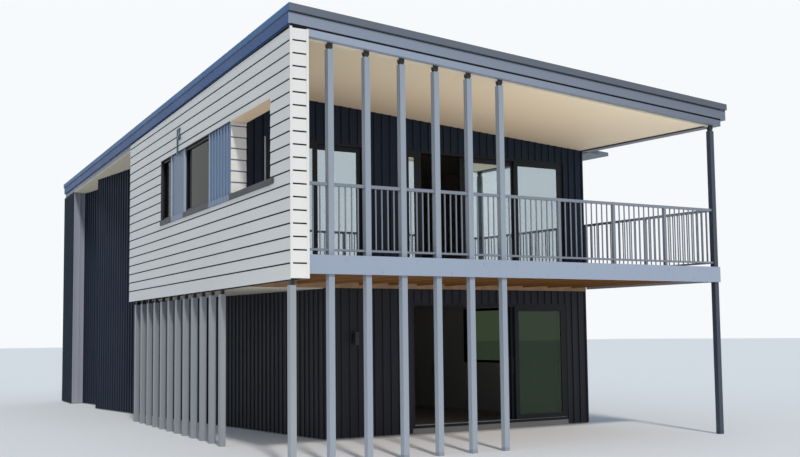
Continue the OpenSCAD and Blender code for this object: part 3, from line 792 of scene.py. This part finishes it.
class BEACH_HOUSE_OT_cladding(bpy.types.Operator):
    """Cover the dark walls with ribbed cladding"""

    bl_idname = "beach_house.cladding"
    bl_label = "Ribbed Cladding"

    def execute(self, context):
        left_x = turned_x(DECK_D) + SCREEN_FACE
        under_floor = CEILING - 0.014
        upper_doors = door_holes(left_x, UPPER_DOORS, FLOOR)
        lower_doors = door_holes(SIDE_X, LOWER_DOORS, GROUND)
        right_holes, rear_holes = (
            window_holes(corner, places, FLOOR) + window_holes(corner, places, GROUND)
            for corner, places in ((DECK_D, SIDE_WINDOWS), (HOUSE_W, REAR_WINDOWS)))
        clad("cladding_upper_front", (left_x, DECK_D), (HOUSE_W, DECK_D), FLOOR, openings=upper_doors)
        clad("cladding_lower_front", (SIDE_X, DECK_D), (HOUSE_W, DECK_D), CLADDING_FOOT, under_floor,
             lower_doors, "ground_lit_cladding")
        rear_corner, block_corner = turned(HOUSE_D), turned(RECESS_BACK)
        for name, start, end, openings, paint in (
                ("right", (HOUSE_W, DECK_D), (HOUSE_W, HOUSE_D), right_holes, "cladding"),
                ("rear", (HOUSE_W, HOUSE_D), rear_corner, rear_holes, "cladding"),
                ("rear_block", rear_corner, block_corner, (), "cladding"),
                ("rear_return", block_corner, (RECESS_X, RECESS_BACK), (), "return"),
                ("recess", (RECESS_X, RECESS_BACK), (RECESS_X, RECESS_FRONT), (), "cladding"),
                ("recess_return", (RECESS_X, RECESS_FRONT), (SIDE_X, RECESS_FRONT), (), "cladding"),
                ("left_back", (SIDE_X, RECESS_FRONT), (SIDE_X, SCREEN_D), (), "cladding")):
            clad("cladding_" + name, start, end, CLADDING_FOOT, None, openings, paint)
        clad("cladding_left", (SIDE_X, SCREEN_D), (SIDE_X, DECK_D), CLADDING_FOOT, under_floor,
             paint="ground_lit_cladding")
        clad("cladding_screen_back", (SIDE_X, SCREEN_D), turned(SCREEN_D, SCREEN_FACE), CEILING)
        return {"FINISHED"}


class BEACH_HOUSE_OT_rooms(bpy.types.Operator):
    """Line the rooms behind the glass"""

    bl_idname = "beach_house.rooms"
    bl_label = "Room Linings"

    def execute(self, context):
        front_y, back_y = DECK_D + WALL_T, HOUSE_D - WALL_T
        side_x, right_x = SIDE_X + WALL_T, HOUSE_W - WALL_T
        rear_x, recess_x = turned_x(back_y) + WALL_T, RECESS_X + WALL_T
        screen_y, step_y = SCREEN_D - WALL_T, RECESS_FRONT - WALL_T
        front_x, screen_x = turned_x(front_y) + SCREEN_T, turned_x(screen_y) + SCREEN_T
        lining_t, above = 0.01, 9
        windows = [((a - front_y) / ALONG, (b - front_y) / ALONG, BAND_SILL, BAND_HEAD)
                   for a, b in (BAND_CUTS[2:4], BAND_CUTS[4:6])]
        lower_sides = [((side_x, front_y), (side_x, screen_y), [])]
        upper_sides = [((front_x, front_y), (screen_x, screen_y), windows),
                       ((screen_x, screen_y), (side_x, screen_y), [])]
        for name, low, top, left_x, doors, sides in (
                ("room_lining_lower", GROUND, CEILING, side_x, LOWER_DOORS, lower_sides),
                ("room_lining_upper", FLOOR, UNCUT, front_x, UPPER_DOORS, upper_sides)):
            faces = [
                ((right_x, front_y), (left_x, front_y), door_holes(right_x, doors, low)),
                ((right_x, back_y), (right_x, front_y), window_holes(back_y, SIDE_WINDOWS, low)),
                ((rear_x, back_y), (right_x, back_y), window_holes(rear_x, REAR_WINDOWS, low)),
                ((side_x, screen_y), (side_x, step_y), []),
                ((side_x, step_y), (recess_x, step_y), []),
                ((recess_x, step_y), (recess_x, RECESS_BACK), []),
                *sides]
            lining = join(name, [Wall(start, end).sheet("sheet", low, top, lining_t, openings)
                                 for start, end, openings in faces])
            if low == FLOOR:
                trim_to_roof(lining, WALL_TOP_H - 0.002)
            dress(lining, "inside")
        outside = [(at(*low, 0), at(*high, above)) for low, high in (
            ((front_x - PAST, screen_y), (side_x, HOUSE_D)), ((SIDE_X, step_y), (recess_x, HOUSE_D)))]
        ceiling = add_block("ceiling_lower", at(side_x, front_y, CEILING - lining_t),
                            at(right_x, back_y, CEILING - 0.0005))
        carve(ceiling, outside)
        dress(ceiling, "inside")
        slope = add_block("ceiling_upper", at(front_x, front_y, FLOOR), at(right_x, back_y, UNCUT))
        carve(slope, outside)
        trim_to_layer(slope, WALL_TOP_H - 0.012, WALL_TOP_H - 0.001)
        trim_to_screen(slope, SCREEN_T)
        dress(slope, "inside")
        return {"FINISHED"}


class BEACH_HOUSE_OT_deck(bpy.types.Operator):
    """Lay the deck boards, fix the bolts and sleeve the posts' brackets"""

    bl_idname = "beach_house.deck"
    bl_label = "Deck"

    def execute(self, context):
        sizes = context.scene.beach_house_sizes
        low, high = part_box("deck_boards")
        pitch = sizes.decking_width + sizes.decking_gap
        board = add_block("deck_boards_laid", low, (high.x, low.y + sizes.decking_width, high.z), 0.003)
        repeat(board, (0, pitch, 0), math.ceil((high.y - low.y) / pitch))
        gap, front_gap, reach = 0.004, 0.01, 0.1
        carve(board, [(at(x - gap, POST_Y - front_gap, high.z - reach),
                       at(x + POST_W + gap, POST_Y + POST_W + gap, high.z + reach)) for x in POST_XS])
        trim(board, high, (0, 1, 0))
        trim_to_screen(board, DECK_EDGE)
        dress(board, "decking")
        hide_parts("deck_boards")
        bolt_y, fascia_y = POST_Y + 0.04, 0.02
        bolts = [(at(x, bolt_y, FLOOR + z), Vector((-1, 0, 0))) for x in POST_XS[:-1] for z in POST_BOLTS]
        bolts += [(at(x, fascia_y, FLOOR + z), Vector((0, -1, 0)))
                  for z, places in FASCIA_BOLTS for x in places]
        head_h, washer_h, sunk = 0.009, 0.003, 0.002
        washer_radius = sizes.bolt_radius * 1.7
        heads, washers = [], []
        for place, out in bolts:
            foot = place - out * sunk
            heads.append(add_rod("head", foot, place + out * head_h, sizes.bolt_radius, 6))
            washers.append(add_rod("washer", foot, place + out * washer_h, washer_radius, 16))
        dress(join("bolt_heads", heads), "galvanised")
        sleeve_h, side_in, front_in = 0.065, 0.003, 0.012
        sleeves = []
        for x in POST_XS:
            foot = roof_z(SOFFIT_H, x + POST_W) - sleeve_h
            sleeve = add_block("sleeve", at(x + side_in, POST_Y + front_in, foot),
                               at(x + POST_W - side_in, POST_Y + POST_W - front_in, foot + 0.1), 0.002)
            trim_to_roof(sleeve, UNDER_SOFFIT_H)
            sleeves.append(sleeve)
        dress(join("bracket_sleeves", sleeves), "bracket")
        dress(join("bolt_washers", washers), "trim")
        return {"FINISHED"}


class BEACH_HOUSE_OT_roof(bpy.types.Operator):
    """Add the roof's seams, the covers of its edges and the strips round the soffit"""

    bl_idname = "beach_house.roof"
    bl_label = "Roof"

    def execute(self, context):
        pitch = context.scene.beach_house_sizes.seam_pitch
        seam_x, seam_y, seam_w = 0.1, 0.3, 0.025
        seam_below, cover_below, above = 0.8, 0.7, 0.1
        seam = add_block("roof_seams", at(seam_x, seam_y, FLOOR + ROOF_TOP_H - seam_below),
                         at(ROOF_RIGHT, seam_y + seam_w, FLOOR + ROOF_TOP_H + above))
        repeat(seam, (0, pitch, 0), int((HOUSE_D - 0.2) / pitch))
        trim_to_layer(seam, ROOF_TOP_H - 0.002, ROOF_TOP_H + 0.032)
        trim_to_screen(seam, seam_x)
        dress(seam, "roofing")
        shadow_line_h, set_back = ROOF_TOP_H - 0.016, 0.004
        left = Wall(turned(ROOF_D), turned(set_back))
        back_x = turned_x(ROOF_D)
        cap = Wall((back_x - CAP_OUT, ROOF_D + CAP_OUT), (-CAP_OUT, -CAP_OUT))
        front = Wall((0, 0), (ROOF_RIGHT, 0))
        corner = Wall((-BARGE_OUT, set_back), (0, set_back))
        # The dark strips under the cap and the one between the beam and the fascia are painted shadow lines.
        for name, edge, depth, low, high, paint in (
                ("barge_fascia", left, BARGE_OUT, FASCIA_LOW_H, shadow_line_h, "barge"),
                ("barge_end", corner, 0.004, FASCIA_LOW_H, shadow_line_h, "fascia"),
                ("barge_shadow_line", left, BARGE_OUT + 0.003, shadow_line_h, ROOF_TOP_H, "flashing"),
                ("barge_cap", cap, 0.002, ROOF_TOP_H, CAP_TOP_H, "barge_cap"),
                ("cap_shadow_line", front, 0.003, shadow_line_h, ROOF_TOP_H, "flashing"),
                ("beam_shadow_line", front, 0.003, SCREEN_TOP_H - 0.008, FASCIA_LOW_H + 0.008, "joint")):
            cover = edge.sheet(name, FLOOR + low - cover_below, FLOOR + high + above, depth)
            trim_to_layer(cover, low + 0.001, high - 0.001)
            dress(cover, paint)
        bead = add_block("soffit_bead", at(0.30, 0.097, FLOOR), at(HOUSE_W - 0.01, 0.112, UNCUT))
        trim_to_layer(bead, SOFFIT_H - 0.026, SOFFIT_H - 0.001)
        trim_to_screen(bead, DECK_EDGE)
        dress(bead, "soffit")
        # A dark strip along the soffit's right edge: painted shade of the edge's underside.
        strip = add_block("soffit_edge_shade_strip", at(HOUSE_W - 0.03, 0.1, FLOOR),
                          at(HOUSE_W + 0.002, DECK_D, UNCUT))
        trim_to_layer(strip, SOFFIT_H - 0.02, SOFFIT_H)
        dress(strip, "flashing")
        return {"FINISHED"}


class BEACH_HOUSE_OT_doors(bpy.types.Operator):
    """Add pulls and tracks to the sliding doors"""

    bl_idname = "beach_house.doors"
    bl_label = "Door Fittings"

    def execute(self, context):
        for body in ("door_leaf_1", "door_leaf_2"):
            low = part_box(body)[0]
            x = low.x + 0.045
            parts = [add_block(name, (x - half_w, low.y - out, foot), (x + half_w, low.y + sunk, top), ease)
                     for name, half_w, out, sunk, foot, top, ease in (
                         ("plate", 0.016, 0.0006, 0.004, 1.0, 1.3, 0.0005),
                         ("pull", 0.009, 0.0008, 0, 1.06, 1.24, 0.0003))]
            dress(join(body + "_pull", parts), "bracket", body=body)
        low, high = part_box("lower_door_frame")
        frame_w, track_w, track_foot, track_top = 0.05, 0.006, 0.0502, 0.053
        tracks = [add_block("track", (low.x + frame_w, low.y + y, low.z + track_foot),
                            (high.x - frame_w, low.y + y + track_w, low.z + track_top))
                  for y in (0.0015, 0.045, 0.091, 0.135)]
        dress(join("door_tracks", tracks), "galvanised")
        return {"FINISHED"}


class BEACH_HOUSE_OT_fittings(bpy.types.Operator):
    """Add the small outside fittings"""

    bl_idname = "beach_house.fittings"
    bl_label = "Wall Fittings"

    def execute(self, context):
        strap_y = 5.6
        face = Wall(turned(strap_y + 1), turned(strap_y))
        bars = [add_block(name, (start, -out, FLOOR + low), (end, -0.014, FLOOR + high), ease)
                for name, start, end, low, high, out, ease in (
                    ("stem", 0.42, 0.48, 2.2, 2.7, 0.03, 0.003),
                    ("arm", 0.42, 0.64, 2.665, 2.7, 0.03, 0.003),
                    ("drop", 0.58, 0.62, 2.55, 2.7, 0.03, 0.003),
                    ("catch", 0.54, 0.66, 2.48, 2.55, 0.06, 0.006))]
        dress(face.place(join("wall_strap", bars)), "strap")
        jamb_x, ease = UPPER_DOORS[0][0], 0.002
        jamb = add_block("door_jamb_strip", at(jamb_x + 0.004, DECK_D - 0.012, FLOOR + 0.02),
                         at(jamb_x + 0.04, DECK_D - 0.001, FLOOR + DOOR_H), ease)
        dress(jamb, "band_strip")
        lamp_x, lamp_y, lamp_low, lamp_high, radius = 2.99, DECK_D - 0.1, 1.58, 1.8, 0.042
        lamp = add_rod("lamp", at(lamp_x, lamp_y, lamp_low), at(lamp_x, lamp_y, lamp_high), radius, 24)
        half_w, plate_low, plate_high = 0.04, 1.62, 1.76
        plate = add_block("plate", at(lamp_x - half_w, DECK_D - 0.07, plate_low),
                          at(lamp_x + half_w, DECK_D - 0.02, plate_high), 0.004)
        dress(join("porch_light", [lamp, plate]), "bracket")
        return {"FINISHED"}


def add_soft_box(name, place, width, depth, energy):
    """A soft light that shines upwards and isn't seen itself."""
    bpy.ops.object.light_add(type="AREA", location=place, rotation=(math.pi, 0, 0))
    box = bpy.context.object
    box.name = name
    box.data.shape = "RECTANGLE"
    box.data.size, box.data.size_y = width, depth
    box.data.energy = energy
    box.data.color = (1.0, 0.95, 0.87)
    box.visible_camera = box.visible_glossy = box.visible_transmission = False


class BEACH_HOUSE_OT_stage(bpy.types.Operator):
    """Set the pale floor, the soft light and the camera"""

    bl_idname = "beach_house.stage"
    bl_label = "Stage"

    def execute(self, context):
        select_only()
        bpy.ops.mesh.primitive_plane_add(size=400, location=(0, 0, 0))
        floor = context.object
        floor.name = "stage_floor"
        pale = {"Roughness": 0.9, "Specular IOR Level": 0.1, "Base Color": (0.8, 0.79, 0.77, 1)}
        floor.data.materials.append(new_material("stage_floor", pale)[0])

        world = bpy.data.worlds.new("pale_sky")
        context.scene.world = world
        world.use_nodes = True
        tree = world.node_tree
        tree.nodes.clear()
        light = add_node(tree, "ShaderNodeBackground", {"Color": (0.63, 0.79, 1.0, 1), "Strength": 0.6})
        backdrop = add_node(tree, "ShaderNodeBackground", {"Color": (0.93, 0.95, 0.97, 1), "Strength": 1.0})
        ray = add_node(tree, "ShaderNodeLightPath").outputs
        through = add_node(tree, "ShaderNodeMath", {
            0: ray["Is Glossy Ray"], 1: ray["Is Transmission Ray"]}, operation="ADD")
        seen = add_node(tree, "ShaderNodeMath", {
            0: ray["Is Camera Ray"], 1: through.outputs[0]}, operation="ADD", use_clamp=True)
        mix = add_node(tree, "ShaderNodeMixShader", {
            0: seen.outputs[0], 1: light.outputs[0], 2: backdrop.outputs[0]})
        add_node(tree, "ShaderNodeOutputWorld", {"Surface": mix.outputs[0]})

        travel = Vector((0.34, 1.0, -0.8))
        bpy.ops.object.light_add(type="SUN", location=(-10, -30, 25))
        key = context.object
        key.name = "key_light"
        key.rotation_euler = travel.to_track_quat("-Z", "Y").to_euler()
        key.data.energy = 2.1
        key.data.angle = math.radians(5)
        key.data.color = (1.0, 0.97, 0.92)
        add_soft_box("fill_light", at(4, -3, 0.05), width=18, depth=10, energy=330)
        add_soft_box("deck_light", at(4.6, 1.25, FLOOR + 0.15), width=6.5, depth=1.6, energy=40)

        bpy.ops.object.camera_add()
        camera = context.object
        camera.name = "photo_camera"
        turn = Matrix((CAMERA_RIGHT, CAMERA_UP, CAMERA_RIGHT.cross(CAMERA_UP))).transposed().to_4x4()
        camera.matrix_world = Matrix.Translation(at(*CAMERA_AT)) @ turn
        camera.data.sensor_width = 36
        camera.data.lens = CAMERA_LENS
        camera.data.clip_start, camera.data.clip_end = 0.5, 600
        context.scene.camera = camera
        context.scene.view_settings.view_transform = "Standard"
        return {"FINISHED"}


OPERATORS = (
    BEACH_HOUSE_OT_frame,
    BEACH_HOUSE_OT_weatherboards,
    BEACH_HOUSE_OT_band,
    BEACH_HOUSE_OT_cladding,
    BEACH_HOUSE_OT_rooms,
    BEACH_HOUSE_OT_deck,
    BEACH_HOUSE_OT_roof,
    BEACH_HOUSE_OT_doors,
    BEACH_HOUSE_OT_fittings,
    BEACH_HOUSE_OT_stage,
)


class BEACH_HOUSE_PT_panel(bpy.types.Panel):
    """Lists the settings and the steps"""

    bl_idname = "BEACH_HOUSE_PT_panel"
    bl_label = "Beach House"
    bl_space_type = "VIEW_3D"
    bl_region_type = "UI"
    bl_category = "Beach House"

    def draw(self, context):
        for settings in (context.scene.beach_house_sizes, context.scene.beach_house_colours):
            for key in settings.bl_rna.properties.keys():
                if key not in {"rna_type", "name"}:
                    self.layout.prop(settings, key)
        for step in OPERATORS:
            self.layout.operator(step.bl_idname)


CLASSES = (BeachHouseSizes, BeachHouseColours, *OPERATORS, BEACH_HOUSE_PT_panel)


def register():
    for cls in CLASSES:
        bpy.utils.register_class(cls)
    bpy.types.Scene.beach_house_sizes = bpy.props.PointerProperty(type=BeachHouseSizes)
    bpy.types.Scene.beach_house_colours = bpy.props.PointerProperty(type=BeachHouseColours)


def unregister():
    del bpy.types.Scene.beach_house_colours
    del bpy.types.Scene.beach_house_sizes
    for cls in reversed(CLASSES):
        bpy.utils.unregister_class(cls)


def main():
    register()
    bpy.ops.beach_house.frame()
    bpy.ops.beach_house.weatherboards()
    bpy.ops.beach_house.band()
    bpy.ops.beach_house.cladding()
    bpy.ops.beach_house.rooms()
    bpy.ops.beach_house.deck()
    bpy.ops.beach_house.roof()
    bpy.ops.beach_house.doors()
    bpy.ops.beach_house.fittings()
    bpy.ops.beach_house.stage()


if __name__ == "__main__":
    main()
